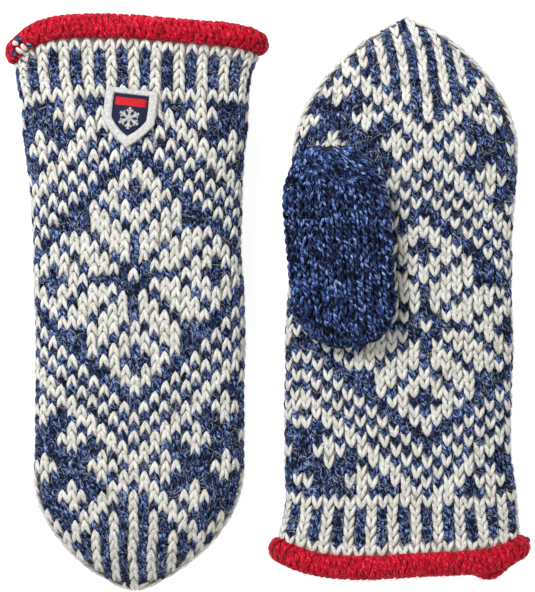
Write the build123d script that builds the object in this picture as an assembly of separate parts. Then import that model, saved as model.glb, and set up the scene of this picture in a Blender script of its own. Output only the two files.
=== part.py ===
"""A pair of knitted colourwork mittens with fleece linings, lying side by side on a flat surface.

The mitten for the left hand lies palm up at +X with its fingertips towards +Y, and its thumb lies
on the palm.  The mitten for the right hand lies palm down at -X with its fingertips towards -Y,
and its thumb is folded under it, in a hollow of the palm.

Each mitten is drawn in a frame of its own: y runs from the rolled edge (0) to the fingertips,
z from the back of the hand (0) up to the palm, and x across the hand.
"""
import os
from dataclasses import dataclass, replace
from math import exp, pi, sin

from build123d import *

# Layers of fabric, mm
KNIT = 3.0
FLEECE = 2.0
THUMB_KNIT = 2.5
THUMB_FLEECE = 1.5
TRIM_FACE = 0.3            # shaved off the knit where it lies flat, so that the faces are planar

# Rolled edge of the cuff
ROLL_HEIGHT = 12.5
ROLL_BULGE = 3.4
ROLL_STATIONS = (0.0, 0.06, 0.2, 0.5, 0.8, 0.94, 1.0)
LINING_START = 7.0
SEAM_WIDTH = 1.0

# Hand tube
BODY_STATIONS = 9
TIP_STATIONS = (0.18, 0.34, 0.48, 0.6, 0.7, 0.79, 0.86, 0.92, 0.96, 0.985)
TIP_POWER = 0.75
TIP_THINNING = 0.45
SIDE_ROUNDNESS = 0.92

# Thumb tube
THUMB_BASE = 111.0         # from the rolled edge to the lowest point of the thumb
THUMB_LENGTH = 94.7
THUMB_HALF_WIDTH = 23.7
THUMB_BASE_ROUND = 15.0
THUMB_TIP_ROUND = 28.7
THUMB_STATIONS = (0.06, 0.2, 0.45, 0.75, 1.0)
THUMB_SINK = 3.0           # how far the thumb's outer edge hangs down the side of the hand
CLEARANCE = 0.4            # between the thumb and the palm under it
HOLLOW_GAP = 0.8           # around the thumb that is folded under the hand

# Thumb hole, from hand to thumb
HOLE_START = 20.0
HOLE_LENGTH = 32.0
HOLE_WIDTH = 24.0
HOLE_CORNER = 8.0
LINK_YARN = 1.2

# Woven badge on the back of the hand
BADGE_FROM_EDGE = 36.5
BADGE_WIDTH = 24.5
BADGE_HEIGHT = 27.5
BADGE_BORDER = 3.8
BORDER_THICK = 1.7
FIELD_THICK = 1.2
EMBLEM_THICK = 0.4
EMBLEM_SPAN = 11.0
EMBLEM_BAR = 1.2
THREAD_WIDTH = 0.8
THREAD_THICK = 0.3

# Yarn ends
YARN_RADIUS = 1.1
JOIN_LENGTH = 10.0
GATHER_RADIUS = 1.6
GATHER_LENGTH = 2.5


@dataclass(frozen=True)
class Tube:
    """A flattened, round-sided tube along y that closes in a pointed arch."""
    length: float
    tip_start: float
    half_width: float
    flare: float
    flare_fade: float
    thickness: float
    floor: float
    sway: float
    lean: float

    def inset(self, by):
        return replace(self, length=self.length - by, half_width=self.half_width - by,
                       thickness=self.thickness - 2 * by, floor=self.floor + by)

    def tip_fraction(self, y):
        return max(0.0, (y - self.tip_start) / (self.length - self.tip_start))

    def half_width_at(self, y):
        arch = (1 - self.tip_fraction(y) ** 2) ** TIP_POWER
        past_roll = max(0.0, y - ROLL_HEIGHT)
        return self.half_width * arch + self.flare * exp(-past_roll / self.flare_fade)

    def thickness_at(self, y):
        return self.thickness * (1 - self.tip_fraction(y) ** 2) ** TIP_THINNING

    def centre_at(self, y):
        along = y / self.length
        return self.sway * sin(pi * along) + self.lean * along ** 3

    def section(self, y, grow=0.0):
        half = self.half_width_at(y) + grow
        thick = self.thickness_at(y) + 2 * grow
        middle = self.floor - grow + thick / 2
        plane = Plane(origin=(self.centre_at(y), y, middle), x_dir=(1, 0, 0), z_dir=(0, 1, 0))
        return plane * RectangleRounded(2 * half, thick, SIDE_ROUNDNESS * min(half, thick / 2))

    def solid(self, start):
        body = self.tip_start - start
        tip = self.length - self.tip_start
        sections = [self.section(start + body * i / BODY_STATIONS) for i in range(BODY_STATIONS + 1)]
        sections += [self.section(self.tip_start + tip * f) for f in TIP_STATIONS]
        return loft(sections, ruled=True)


@dataclass(frozen=True)
class Thumb:
    """A short flattened tube along y, round at the base and at the tip."""
    centre: float
    start: float
    length: float
    half_width: float
    low: float
    thickness: float

    def inset(self, by):
        return replace(self, start=self.start + by, length=self.length - 2 * by,
                       half_width=self.half_width - by, low=self.low + by,
                       thickness=self.thickness - 2 * by)

    def section(self, along, width_share, height_share, extra_top):
        half = self.half_width * width_share
        thick = self.thickness * height_share
        low = self.low + (self.thickness - thick) / 2
        middle = low + (thick + extra_top) / 2
        plane = Plane(origin=(self.centre, self.start + along, middle),
                      x_dir=(1, 0, 0), z_dir=(0, 1, 0))
        corner = SIDE_ROUNDNESS * min(half, thick / 2)
        return plane * RectangleRounded(2 * half, thick + extra_top, corner)

    def solid(self, extra_top=0.0):
        sections = []
        for f in THUMB_STATIONS:
            gap = 1 - f
            sections.append(self.section(THUMB_BASE_ROUND * f, (1 - gap ** 2.5) ** 0.4,
                                         (1 - gap ** 2) ** 0.5, extra_top))
        for f in THUMB_STATIONS[::-1]:
            gap = 1 - f
            sections.append(self.section(self.length - THUMB_TIP_ROUND * f,
                                         (1 - gap ** 2.5) ** 0.5, (1 - gap ** 2.5) ** 0.4, extra_top))
        return loft(sections, ruled=True)


@dataclass(frozen=True)
class Mitten:
    name: str
    hand: Tube
    thumb_side: int            # -1 towards -x, +1 towards +x
    thumb_centre: float
    thumb_thickness: float
    thumb_in_palm: bool        # folded into a hollow of the palm, or lying on the palm
    badge_recess: float
    badge_shift: float
    badge_turn: float


LEFT = Mitten(
    name="left",
    hand=Tube(length=265.3, tip_start=200.0, half_width=53.5, flare=4.5, flare_fade=20.0,
              thickness=27.0, floor=0.0, sway=0.0, lean=4.5),
    thumb_side=-1, thumb_centre=28.7, thumb_thickness=15.0, thumb_in_palm=False,
    badge_recess=2.0, badge_shift=2.0, badge_turn=-5.0)
RIGHT = Mitten(
    name="right",
    hand=Tube(length=272.4, tip_start=212.0, half_width=48.5, flare=9.5, flare_fade=38.0,
              thickness=31.0, floor=0.0, sway=2.9, lean=0.0),
    thumb_side=1, thumb_centre=19.0, thumb_thickness=13.0, thumb_in_palm=True,
    badge_recess=0.9, badge_shift=-2.0, badge_turn=5.0)

LEFT_X = 61.3
RIGHT_X = -63.2
LEFT_EDGE_Y = -134.1
RIGHT_EDGE_Y = 134.1


def slab(low, high):
    """Everything between two heights."""
    reach = 600.0
    return Pos(0, 0, (low + high) / 2) * Box(reach, 2 * reach, high - low)


def thumb_shape(m):
    top = m.hand.thickness
    centre = m.thumb_side * m.thumb_centre
    if m.thumb_in_palm:
        low = top - TRIM_FACE - m.thumb_thickness
        return Thumb(centre, THUMB_BASE, THUMB_LENGTH, THUMB_HALF_WIDTH, low, m.thumb_thickness)
    low = top + CLEARANCE - THUMB_SINK
    return Thumb(centre, THUMB_BASE, THUMB_LENGTH, THUMB_HALF_WIDTH, low,
                 m.thumb_thickness + THUMB_SINK)


def thumb_hole(m, grow, low, high):
    """The opening from the hand into the thumb, as a prism between two heights."""
    flat_edge = m.hand.half_width - m.hand.thickness / 2
    centre = m.thumb_side * min(m.thumb_centre, flat_edge - HOLE_WIDTH / 2 - LINK_YARN)
    outline = RectangleRounded(HOLE_WIDTH + 2 * grow, HOLE_LENGTH + 2 * grow, HOLE_CORNER + grow)
    middle = THUMB_BASE + HOLE_START + HOLE_LENGTH / 2
    return Pos(centre, middle, low) * extrude(outline, high - low)


def grown(tube, by):
    return tube.inset(-by)


def palm_hollow(m, grow):
    """The space that the folded thumb takes out of the palm."""
    return grown(thumb_shape(m), HOLLOW_GAP + grow).solid(extra_top=m.hand.thickness)


def hand_solids(m):
    """The knitted hand, its fleece lining and the space inside."""
    outer = grown(m.hand, TRIM_FACE).solid(ROLL_HEIGHT) & slab(0, m.hand.thickness)
    inner = m.hand.inset(KNIT).solid(-1.0)
    space = m.hand.inset(KNIT + FLEECE).solid(-1.0)
    if m.thumb_in_palm:
        outer -= palm_hollow(m, 0)
        inner -= palm_hollow(m, KNIT)
        space -= palm_hollow(m, KNIT + FLEECE)
    knit = outer - inner
    lining = (inner - space) & (Pos(0, LINING_START + 200, 0) * Box(400, 400, 400))
    seam_space = Pos(0, LINING_START - SEAM_WIDTH / 2, 0) * Box(400, SEAM_WIDTH, 400)
    seam = (inner - space) & seam_space
    wall = m.hand.thickness - palm_depth(m)
    knit -= thumb_hole(m, LINK_YARN, wall - KNIT - TRIM_FACE, wall + TRIM_FACE)
    lining -= thumb_hole(m, 0, wall - 2 * KNIT - FLEECE, wall)
    return knit, lining, seam


def palm_depth(m):
    """How far the wall that the thumb opens from lies under the highest point of the palm."""
    if m.thumb_in_palm:
        return TRIM_FACE + m.thumb_thickness + HOLLOW_GAP
    return 0.0


def linking_yarn(m):
    top = m.hand.thickness - palm_depth(m)
    return thumb_hole(m, LINK_YARN, top - KNIT, top) - thumb_hole(m, 0, top - KNIT, top)


def cuff_roll(m):
    """The edge of the cuff, rolled outwards on itself."""
    sections = []
    for f in ROLL_STATIONS:
        bulge = ROLL_BULGE * (1 - (2 * f - 1) ** 2) ** 0.5
        sections.append(m.hand.section(ROLL_HEIGHT * f, bulge))
    ring = loft(sections, ruled=True) - m.hand.inset(KNIT).solid(-1.0)
    if m.thumb_in_palm:
        return ring & slab(-2 * ROLL_BULGE, m.hand.thickness)
    return ring & slab(0, m.hand.thickness + 2 * ROLL_BULGE)


def join_yarn(m):
    """Darning at the side where the rolled edge is joined to the knit."""
    edge = m.hand.half_width_at(ROLL_HEIGHT) - YARN_RADIUS
    centre = m.hand.centre_at(ROLL_HEIGHT)
    place = Pos(centre - m.thumb_side * edge, ROLL_HEIGHT, m.hand.thickness / 2)
    strands = [Pos(0, 0, dz) * Rot(90, 0, 0) * Cylinder(YARN_RADIUS, JOIN_LENGTH)
               for dz in (-3 * YARN_RADIUS, 0, 3 * YARN_RADIUS)]
    return place * Compound(children=strands)


def gather_yarn(tube_end, centre, height):
    """The yarn end that draws the last loops together at a tip."""
    knot = Rot(90, 0, 0) * Cylinder(GATHER_RADIUS, GATHER_LENGTH)
    return Pos(centre, tube_end - GATHER_LENGTH / 2, height) * knot


def shield(inset):
    """A plain shield outline, its point towards +y, with its top edge at y = 0 before the inset."""
    half = BADGE_WIDTH / 2 - inset
    tip = BADGE_HEIGHT - 1.3 * inset
    shoulder = 0.5 * BADGE_HEIGHT
    edges = [
        Line((-half, inset), (half, inset)),
        Line((half, inset), (half, shoulder)),
        ThreePointArc((half, shoulder), (0.68 * half, 0.5 * (shoulder + tip) + 0.6), (0, tip)),
        ThreePointArc((0, tip), (-0.68 * half, 0.5 * (shoulder + tip) + 0.6), (-half, shoulder)),
        Line((-half, shoulder), (-half, inset)),
    ]
    return make_face(edges)


def badge_solids(m):
    """Badge pieces, outer face towards -z, and the recess they sit in."""
    place = Pos(m.badge_shift, BADGE_FROM_EDGE, m.badge_recess) * Rot(0, 0, m.badge_turn)
    border = extrude(shield(0) - shield(BADGE_BORDER), -BORDER_THICK)
    field = extrude(shield(BADGE_BORDER), -FIELD_THICK)
    bars = Rectangle(EMBLEM_SPAN, EMBLEM_BAR)
    for turn in (60, 120):
        bars += Rot(0, 0, turn) * Rectangle(EMBLEM_SPAN, EMBLEM_BAR)
    middle = Pos(0, 0.45 * BADGE_HEIGHT, -FIELD_THICK)
    emblem = middle * extrude(Rot(0, 0, 90) * bars, -EMBLEM_THICK)
    thread = extrude(shield(0.5 * BADGE_BORDER - THREAD_WIDTH / 2)
                     - shield(0.5 * BADGE_BORDER + THREAD_WIDTH / 2), THREAD_THICK)
    thread = Pos(0, 0, -BORDER_THICK) * thread
    border -= thread
    recess = extrude(shield(0), -BORDER_THICK - 1.0)
    return {"badge_border": place * border, "badge_field": place * field,
            "badge_emblem": place * emblem, "badge_stitching": place * thread}, place * recess


def thumb_solids(m):
    """The knitted thumb and its fleece lining, open into the hand at the base."""
    shape = thumb_shape(m)
    knit_outer = shape.solid()
    knit_inner = shape.inset(THUMB_KNIT).solid()
    space = shape.inset(THUMB_KNIT + THUMB_FLEECE).solid()
    if not m.thumb_in_palm:
        under = grown(m.hand, TRIM_FACE)
        knit_outer -= grown(under, CLEARANCE).solid(ROLL_HEIGHT)
        knit_inner -= grown(under, CLEARANCE + THUMB_KNIT).solid(ROLL_HEIGHT)
        space -= grown(under, CLEARANCE + THUMB_KNIT + THUMB_FLEECE).solid(ROLL_HEIGHT)
    hole = thumb_hole(m, 0, shape.low - 1.0, shape.low + shape.thickness / 2)
    return knit_outer - knit_inner - hole, knit_inner - space - hole


def mitten_parts(m):
    """Every piece of one mitten, in the mitten's own frame."""
    knit, lining, seam = hand_solids(m)
    badge, recess = badge_solids(m)
    thumb_knit, thumb_lining = thumb_solids(m)
    shape = thumb_shape(m)
    join = join_yarn(m)
    tip_y = m.hand.tip_start + (m.hand.length - m.hand.tip_start) * TIP_STATIONS[-1]
    tip_height = m.hand.thickness_at(tip_y) / 2
    gather = gather_yarn(tip_y, m.hand.centre_at(tip_y), tip_height)
    thumb_end = shape.start + shape.length - THUMB_TIP_ROUND * THUMB_STATIONS[0]
    thumb_gather = gather_yarn(thumb_end, shape.centre, shape.low + shape.thickness / 2)
    pieces = {
        "hand_knit": knit - recess - join - gather,
        "hand_lining": lining,
        "cuff_roll": cuff_roll(m) - join,
        "cuff_join_yarn": join,
        "lining_seam_thread": seam,
        "tip_gather_yarn": gather,
        "thumb_linking_yarn": linking_yarn(m),
        "thumb_knit": thumb_knit - thumb_gather,
        "thumb_lining": thumb_lining,
        "thumb_gather_yarn": thumb_gather,
    }
    pieces.update(badge)
    return pieces


def placed_parts():
    left = {f"left_{k}": Pos(LEFT_X, LEFT_EDGE_Y, 0) * v for k, v in mitten_parts(LEFT).items()}
    over = Pos(RIGHT_X, RIGHT_EDGE_Y, RIGHT.hand.thickness) * Rot(180, 0, 0)
    right = {f"right_{k}": over * v for k, v in mitten_parts(RIGHT).items()}
    return {**left, **right}


def centred(parts):
    """Moves the pair so that the middle of its box is over the origin."""
    boxes = [p.bounding_box() for p in parts.values()]
    mid_x = (min(b.min.X for b in boxes) + max(b.max.X for b in boxes)) / 2
    mid_y = (min(b.min.Y for b in boxes) + max(b.max.Y for b in boxes)) / 2
    return {name: Pos(-mid_x, -mid_y, 0) * part for name, part in parts.items()}


os.makedirs("parts", exist_ok=True)
for node, solid in centred(placed_parts()).items():
    export_step(solid, f"parts/{node}.step")
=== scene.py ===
"""Looks of a pair of knitted colourwork mittens that lie side by side on a pale floor.

Every stitch is real geometry: two plump legs of yarn laid on a fabric surface.  The surface of
each hand, thumb and rolled edge is a grid of points in wale and row units, in millimetres, and
the colourwork is one chart.  Millimetres become metres where a mesh is made.
"""
from dataclasses import dataclass
from math import pi

import bpy
import numpy as np
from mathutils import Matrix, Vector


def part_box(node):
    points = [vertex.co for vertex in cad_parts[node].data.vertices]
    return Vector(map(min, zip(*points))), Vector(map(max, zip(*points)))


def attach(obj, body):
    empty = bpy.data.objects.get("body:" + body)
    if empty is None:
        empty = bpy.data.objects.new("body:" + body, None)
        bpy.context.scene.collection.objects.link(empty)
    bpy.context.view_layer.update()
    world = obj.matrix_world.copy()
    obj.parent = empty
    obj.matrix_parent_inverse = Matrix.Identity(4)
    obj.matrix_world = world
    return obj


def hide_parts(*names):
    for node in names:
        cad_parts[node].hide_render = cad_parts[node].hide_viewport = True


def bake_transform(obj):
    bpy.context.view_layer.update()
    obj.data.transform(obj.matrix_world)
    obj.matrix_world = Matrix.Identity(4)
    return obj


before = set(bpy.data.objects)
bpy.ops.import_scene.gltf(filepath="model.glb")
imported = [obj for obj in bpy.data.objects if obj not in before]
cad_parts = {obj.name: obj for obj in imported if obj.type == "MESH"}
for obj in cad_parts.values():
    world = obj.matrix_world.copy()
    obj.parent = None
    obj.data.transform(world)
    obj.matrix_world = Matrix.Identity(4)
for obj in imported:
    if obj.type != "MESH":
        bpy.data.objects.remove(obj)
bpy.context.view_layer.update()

MM = 0.001
SEED = 11

# ---- gauge of the hand, mm and rows ----
WALES_ROUND = 46
PANEL_WALES = WALES_ROUND / 2
FIRST_ROW = -23
WALE_PITCH = 4.7
ROW_PITCH = 4.65
YARN_HALF_WIDTH = {"white": 1.11, "blue": 1.04}
YARN_HALF_DEPTH = 0.74
YARN_RISE = 1.6  # how far the yarn stands above the fabric surface
SIDE_RISE = 0.8  # and beyond it at the side edges, where the yarn is stretched
PLY_LAY = 3.4  # length of one half twist of the two plies, mm
PLY_GROOVE = 0.07
BACKING_DEPTH = -0.55
LINING_INSET = 3.2
LINING_THICK = 2.0
LINING_NAP = 0.18  # unevenness of its inner face
SEAM_HALF = 0.3  # half the thickness of the thread that sews it in

# ---- gauge of the thumb ----
THUMB_WALES = 26
THUMB_WALE_PITCH = 4.1
THUMB_PITCH = 4.05  # of its rows

# ---- rolled edge ----
ROLL_HEIGHT = 12.5
ROLL_ROWS = 7

# ---- woven badge on the back of the hand ----
BADGE_FROM_EDGE = 37.1
BADGE_WIDTH = 24.2
BADGE_HEIGHT = 27.5
BADGE_BORDER = 3.8

GRID_STEP = 0.5  # rows between the grid lines of a hand
FINE_STEP = 0.25  # and of a thumb or a rolled edge
COLUMNS_PER_WALE = 8


def smooth(x):
    x = np.clip(x, 0.0, 1.0)
    return x * x * (3 - 2 * x)


def unit(vectors):
    return vectors / np.maximum(np.linalg.norm(vectors, axis=-1, keepdims=True), 1e-9)


def steps(count):
    return np.linspace(0, 1, count)[None, :]


# ---- the surface of a knitted tube ----
class Fabric:
    """A closed tube as a grid of points.  f is the way round, from 0 at the top middle to 1."""

    def __init__(self, points, first_row, row_step, pitch_share, shift, outward, seed):
        self.points = points
        self.seed = seed
        self.first_row = first_row
        self.row_step = row_step
        self.pitch_share = pitch_share  # one wale as a share of the way round, for each grid row
        self.shift = shift  # how far round the chart's middle is, for each grid row
        around = np.roll(points, -1, 1) - np.roll(points, 1, 1)
        along = np.gradient(points, axis=0)
        self.normals = unit(np.cross(around, along) * outward)

    def wander(self, wale, row):
        """How far, in wales and rows, the stitches of a soft fabric stray from their straight lines."""
        wales = 0.055 * ripple(wale * 14, row * 15, self.seed)
        rows = 0.075 * ripple(row * 13, wale * 15, self.seed + 3)
        return wales, rows

    def grid_row(self, row):
        last = self.points.shape[0] - 1.001
        return np.clip((row - self.first_row) / self.row_step, 0.0, last)

    def along(self, values, row):
        return np.interp(self.grid_row(row), np.arange(len(values)), values)

    def wale_share(self, row):
        return self.along(self.pitch_share, row)

    def chart_shift(self, row):
        return self.along(self.shift, row)

    def sample(self, field, f, row):
        i = self.grid_row(row)
        columns = field.shape[1]
        j = np.mod(f, 1.0) * columns
        i0, j0 = np.floor(i).astype(int), np.floor(j).astype(int) % columns
        j1 = (j0 + 1) % columns
        di, dj = (i - i0)[..., None], (j - np.floor(j))[..., None]
        low = field[i0, j0] * (1 - dj) + field[i0, j1] * dj
        high = field[i0 + 1, j0] * (1 - dj) + field[i0 + 1, j1] * dj
        return low * (1 - di) + high * di

    def place(self, f, row, depth):
        normal = unit(self.sample(self.normals, f, row))
        return self.sample(self.points, f, row) + normal * depth[..., None], normal

    def layer(self, rows, columns, depth):
        """A grid of points at one depth, at even steps round the tube."""
        ff, rr = np.meshgrid(np.arange(columns) / columns, rows)
        return self.place(ff, rr, np.full(ff.shape, depth))[0]


# Stations along a mitten, mm from the rolled edge, at which the lie of its side edges and of its
# chart's middle line is given
SIDE_AT = (15, 24, 32, 40, 54, 66, 88, 112, 136, 160, 200, 216)
CHART_AT = (30, 64, 90, 130, 160, 190, 215, 230, 265)
# Rows whose distance from the rolled edge is given: the knit is looser in some places than others
ROW_AT = (-26, -23, -18, -12, 0, 9, 15, 20, 24, 33)
# Places across the rolled edge, from its left end (-1) to its right end, where its line is given:
# a smooth curve of EDGE_DEGREE is laid through them
EDGE_AT = (-1.0, -0.8, -0.6, -0.4, -0.2, 0.0, 0.2, 0.4, 0.6, 0.8, 1.0)
EDGE_DEGREE = 6


@dataclass
class Mitten:
    """One mitten as it lies: x across, y from the rolled edge (0) to the fingertips."""
    side: str
    origin: tuple  # middle of the rolled edge
    toward: int  # +1 when the fingertips point towards +Y
    length: float
    tip_start: float
    tip_centre: float  # how far the fingertip lies to the right of the axis
    left_side: tuple  # distance of each side edge from the axis, at the stations
    right_side: tuple
    edge_back: tuple  # how far the rolled edge falls back, across its width
    join_turn: float  # where round the mouth the rolled edge is joined
    edge_under: float  # how far its lower layer sticks out beyond the upper one, on the right
    height: float  # of the hand as it lies, yarn included
    row_from_edge: tuple  # distance of each of the given rows from the rolled edge
    row_bow: float  # how far the rows are drawn back at both sides
    row_tilt: float  # how far they slope down to the right in the middle of the hand
    last_row: int
    chart_line: tuple  # distance of the chart's middle from the axis, at its stations
    thumb_centre: float  # distance of the thumb's middle from the axis
    thumb_lean: float  # how far the thumb's tip lies to the side of its base
    badge_shift: float  # distance of the badge's middle from the axis
    badge_turn: float  # degrees
    palm_up: bool
    noise_seed: float

    def world(self, x, y, z):
        return np.stack([self.origin[0] + x, self.origin[1] + self.toward * y, z], axis=-1)

    def tip_fraction(self, y):
        return np.clip((y - self.tip_start) / (self.length + SIDE_RISE - self.tip_start), 0.0, 1.0)

    def sides_at(self, y):
        return np.interp(y, SIDE_AT, self.left_side), np.interp(y, SIDE_AT, self.right_side)

    def half_width_at(self, y):
        left, right = self.sides_at(y)
        return 0.5 * (left + right) * (1 - self.tip_fraction(y) ** 2) ** 0.8 + 0.05

    def centre_at(self, y):
        left, right = self.sides_at(y)
        middle = 0.5 * (right - left)
        return middle + (self.tip_centre - middle) * smooth(self.tip_fraction(y))

    def height_at(self, y):
        return (self.height - YARN_RISE) * (1 - self.tip_fraction(y) ** 2) ** 0.45 + 0.3

    def row_y(self, row):
        return np.minimum(np.interp(row, ROW_AT, self.row_from_edge), self.length + SIDE_RISE)


FLOOR = YARN_RISE + 0.2  # height of the fabric's lower face
MIDDLE_SHARE = 0.42  # share of the height at which its upper and lower faces meet
TOP_ROUND = 2.7  # exponents of the rounded cross-section: 2 is an ellipse
BOTTOM_ROUND = 3.6
HAND_RIPPLE = 0.55
SIDE_RIPPLE = 0.35
ARC_SAMPLES = 361


def half_section(half, rise, middle, power, upper):
    """Points of the upper or lower half of a cross-section, from -x to +x, with their arc length."""
    angle = np.linspace(-pi / 2, pi / 2, ARC_SAMPLES)
    across = np.sign(np.sin(angle)) * np.abs(np.sin(angle)) ** (2 / power)
    up = np.cos(angle) ** (2 / power)
    up[[0, -1]] = 0.0
    x = half[:, None] * across
    z = middle[:, None] + (rise[:, None] * up if upper else -rise[:, None] * up)
    steps = np.hypot(np.diff(x, axis=1), np.diff(z, axis=1))
    arc = np.concatenate([np.zeros((len(half), 1)), np.cumsum(steps, axis=1)], axis=1)
    return x, z, arc


def even_steps(values, arc, shares):
    return np.array([np.interp(shares * a[-1], a, v) for v, a in zip(values, arc)])


def section_grid(half, top, middle, low, columns):
    """x, z and upper arc length of every row, at even steps round the tube from the top middle."""
    quarter = columns // 4
    x_up, z_up, arc_up = half_section(half, top - middle, middle, TOP_ROUND, True)
    x_low, z_low, arc_low = half_section(half, middle - low, middle, BOTTOM_ROUND, False)
    upper = np.arange(2 * quarter) / (2 * quarter)
    lower = 1 - upper
    x = np.concatenate([even_steps(x_up, arc_up, upper), even_steps(x_low, arc_low, lower)], axis=1)
    z = np.concatenate([even_steps(z_up, arc_up, upper), even_steps(z_low, arc_low, lower)], axis=1)
    return np.roll(x, -quarter, 1), np.roll(z, -quarter, 1), arc_up[:, -1]


def ripple(x, y, seed):
    """Slow unevenness of a soft fabric."""
    waves = ((0.041, 0.027, 0.9), (-0.063, 0.051, 0.6), (0.022, -0.083, 0.7), (0.11, 0.035, 0.35))
    return sum(size * np.sin(a * x + b * y + seed * (i + 1.3)) for i, (a, b, size) in enumerate(waves))


def hand_top(m, x, y):
    """Height of the upper face of the hand."""
    half = m.half_width_at(y)
    top = m.height_at(y)
    middle = FLOOR + MIDDLE_SHARE * (top - FLOOR)
    side = np.clip(np.abs(x - m.centre_at(y)) / half, 0, 0.995)
    calm = (1 - side ** 4) * (1 - m.tip_fraction(y) ** 2)
    height = middle + (top - middle) * (1 - side ** TOP_ROUND) ** (1 / TOP_ROUND)
    return height + HAND_RIPPLE * ripple(x, y, m.noise_seed) * calm


THUMB_START = 111.0  # from the rolled edge
THUMB_LENGTH = 94.0
THUMB_HALF = 23.7  # half width
HOLLOW_INSIDE = 6.0  # how far inside the thumb's outline the hollow's own outline runs
HOLLOW_FLAT = 7.5  # how far beyond that the hollow keeps its full height
HOLLOW_SLOPE = 7.0
HOLLOW_HEIGHT = 14.6
HOLLOW_EDGE = 0.14  # share of the half width over which the hollow's roof comes down
BADGE_BED = 1.7  # how far the knit gives way over a badge that lies underneath
BADGE_SLOPE = 6.0
CUFF_FADE = 30.0  # how fast the curve of the rolled edge dies out along the hand
TILT_MIDDLE = 130.0  # where the rows slope most, from the rolled edge
TILT_REACH = 60.0
UNDER_PLACE = 0.8  # where across the mouth the lower layer sticks out
UNDER_REACH = 0.15


def hollow_lift(m, x, y):
    """How much of the hollow over the folded thumb a point of the palm takes part in."""
    middle_y = THUMB_START + THUMB_LENGTH / 2
    out_x = np.maximum(np.abs(x - m.thumb_centre) - (THUMB_HALF - HOLLOW_INSIDE), 0)
    out_y = np.maximum(np.abs(y - middle_y) - (THUMB_LENGTH / 2 - HOLLOW_INSIDE), 0)
    away = np.hypot(out_x, out_y) - HOLLOW_FLAT
    return 1 - smooth(away / HOLLOW_SLOPE)


def badge_local(m, x, y):
    """Places on a hand as seen from its badge: across it, and down from its top edge."""
    turn = np.radians(m.badge_turn)
    dx, dy = x - m.badge_shift, y - BADGE_FROM_EDGE
    return dx * np.cos(turn) + dy * np.sin(turn), dy * np.cos(turn) - dx * np.sin(turn)


def badge_bed(m, x, y):
    """How much of the dent over the badge underneath a point takes part in."""
    u, v = badge_local(m, x, y)
    away = np.maximum(np.abs(u) - BADGE_WIDTH / 2, np.abs(v - BADGE_HEIGHT / 2) - BADGE_HEIGHT / 2)
    return 1 - smooth(away / BADGE_SLOPE + 0.2)


def hand_points(m, y, columns, inset):
    """Points round the hand, inside its outer face by an inset, and each row's upper arc length."""
    half = np.maximum(m.half_width_at(y) - inset, 0.4)
    low = FLOOR + inset
    top = np.maximum(m.height_at(y) - inset, low + 1.2)
    middle = low + MIDDLE_SHARE * (top - low)
    x, z, arc = section_grid(half, top, middle, np.full_like(y, low), columns)
    side = np.abs(x) / half[:, None]
    place = x / half[:, None]
    upper = z > middle[:, None]
    back = np.polyval(np.polyfit(EDGE_AT, m.edge_back, EDGE_DEGREE), place)
    under = m.edge_under * np.exp(-((place - UNDER_PLACE) / UNDER_REACH) ** 2)
    back = back - np.where(upper, 0, under)
    cuff = np.exp(-np.maximum(y - ROLL_HEIGHT, 0) / CUFF_FADE)[:, None]
    tilt = m.row_tilt * np.exp(-((y - TILT_MIDDLE) / TILT_REACH) ** 2)[:, None]
    y_all = y[:, None] + back * cuff - m.row_bow * side ** 2 * (1 - cuff) + tilt * place
    x_all = x + m.centre_at(y)[:, None]
    tip_calm = (1 - m.tip_fraction(y) ** 2)[:, None]
    uneven = HAND_RIPPLE * ripple(x_all, y_all, m.noise_seed) * (1 - side ** 4) * tip_calm
    z = z + np.where(upper, uneven, 0)
    if m.palm_up:
        z = np.where(upper, z, z + BADGE_BED * badge_bed(m, x_all, y_all))
    else:
        roof = HOLLOW_HEIGHT + inset
        edge_roof = middle[:, None] - 0.6
        roof = edge_roof + (roof - edge_roof) * smooth((1 - side) / HOLLOW_EDGE)
        lifted = np.minimum(z + (roof - low) * hollow_lift(m, x_all, y_all), np.maximum(roof, z))
        z = np.where(upper, z, lifted)
    x_all = x_all + SIDE_RIPPLE * ripple(y_all * 1.7, x_all, m.noise_seed + 2)
    return m.world(x_all, y_all, z), arc


def hand_fabric(m):
    rows = np.arange(FIRST_ROW - 2.5, m.last_row + 1.3, GRID_STEP)
    y = m.row_y(rows)
    points, arc = hand_points(m, y, WALES_ROUND * COLUMNS_PER_WALE, 0.0)
    even_pitch = arc / PANEL_WALES
    tip = m.tip_fraction(y)
    straight = np.interp(m.tip_start, y, even_pitch) * (1 - 0.16 * tip)
    pitch = np.where(tip > 0, np.minimum(straight, 0.24 * arc), even_pitch)
    shift = (np.interp(y, CHART_AT, m.chart_line) - m.centre_at(y)) * (1 - tip ** 4)
    return Fabric(points, rows[0], GRID_STEP, pitch / (2 * arc), shift / (2 * arc), m.toward,
                  m.noise_seed)


# ---- the chart ----
def is_white(wale, row, palm):
    """The colourwork chart: wale 0 is the middle of a panel, row 0 the middle of its star."""
    a, b = abs(wale), abs(row)
    reach = a + b
    if row == FIRST_ROW or row == FIRST_ROW + 5:
        return True
    if FIRST_ROW < row < FIRST_ROW + 5:
        return (wale + palm) % 2 == 0
    if reach <= 11:
        petal = 1 <= abs(a - b) <= 3 and 1 <= min(a, b) <= 4
        flower = 2 <= a + abs(b - 8) <= 3 or 2 <= abs(a - 8) + b <= 3
        return reach == 0 or petal or flower
    if reach <= 19:
        return reach in (14, 16, 18, 19)
    if b - a in (19, 20):
        return True
    if b - a >= 21:
        return wale % 2 == 0 and b - a >= 22
    for i in range(5):
        for j in range(-3, 4):
            if (i + j) % 2 == 1 and abs(a - 3 * i) + abs(b - 19 - 3 * j) <= 1:
                return True
    return False


# ---- stitches ----
LEG_POINTS = 9
LEG_SIDES = 8
LOWEST = 0.02  # yarn that rests on the floor is pressed flat against it


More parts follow.
